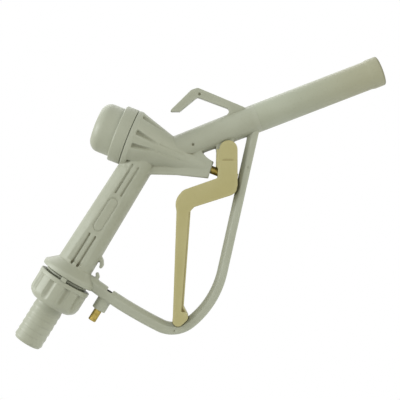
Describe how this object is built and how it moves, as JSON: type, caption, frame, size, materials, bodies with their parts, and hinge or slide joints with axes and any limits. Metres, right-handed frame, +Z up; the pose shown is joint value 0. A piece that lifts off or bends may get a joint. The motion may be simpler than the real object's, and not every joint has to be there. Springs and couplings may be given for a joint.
{
  "type": "fuel nozzle",
  "caption": "Manual fuel nozzle in grey plastic with a plain spout, hanging hook, finger guard, cream trigger lever, domed valve cap and a swivel hose tail.",
  "frame": {"origin": "on the spout's axis, at the middle of the bead around its tip", "axes": "+X along the spout and out of its tip, +Z up towards the hanging hook, Y across the nozzle"},
  "size_m": [0.379, 0.05, 0.2083],
  "materials": {
    "body_plastic": "moulded, semi-matte",
    "trigger_plastic": "moulded, semi-matte",
    "brass": "turned",
    "steel": "drawn wire",
    "rubber": "moulded"
  },
  "bodies": {
    "nozzle": {"valve_body": "body_plastic", "spout_tube": "body_plastic", "spout_o_ring": "rubber", "hanging_hook": "body_plastic", "trigger_guard": "body_plastic", "valve_cap": "body_plastic", "cap_o_ring": "rubber", "valve_spring": "steel", "stem_o_rings": "rubber", "packing_gland": "brass", "trigger_pin": "steel", "latch_spring": "steel", "latch_bush": "brass", "union_nut": "body_plastic", "lock_ring": "body_plastic", "swivel_washer": "rubber"},
    "lever": {"trigger": "trigger_plastic"},
    "valve": {"valve_stem": "brass", "poppet_disc": "body_plastic", "poppet_seal": "rubber", "poppet_nut": "brass"},
    "latch": {"latch_pin": "brass"},
    "tail": {"hose_tail": "body_plastic", "tail_o_ring": "rubber"}
  },
  "joints": [
    {"name": "trigger_swing", "type": "hinge", "parent": "nozzle", "child": "lever", "pos_m": [-0.1436, 0, -0.0167], "axis": [0, 1, 0], "range_deg": [0, 24]},
    {"name": "stem_lift", "type": "slide", "parent": "nozzle", "child": "valve", "axis": [-0.7373, 0, 0.6756], "range_m": [0, 0.00955], "stiffness_N_per_m": 1590, "springref_m": -0.01, "deforming": ["valve_spring"]},
    {"name": "latch_push", "type": "slide", "parent": "nozzle", "child": "latch", "axis": [0.7986, 0, 0.6018], "range_m": [0, 0.006], "stiffness_N_per_m": 1900, "springref_m": -0.002, "deforming": ["latch_spring"]},
    {"name": "tail_swivel", "type": "hinge", "parent": "nozzle", "child": "tail", "pos_m": [-0.2211, 0, 0], "axis": [-0.7986, 0, -0.6018], "continuous": true}
  ],
  "couplings": [
    {"joint": "trigger_swing", "follows": "stem_lift", "rad_per_m": 43.86}
  ]
}
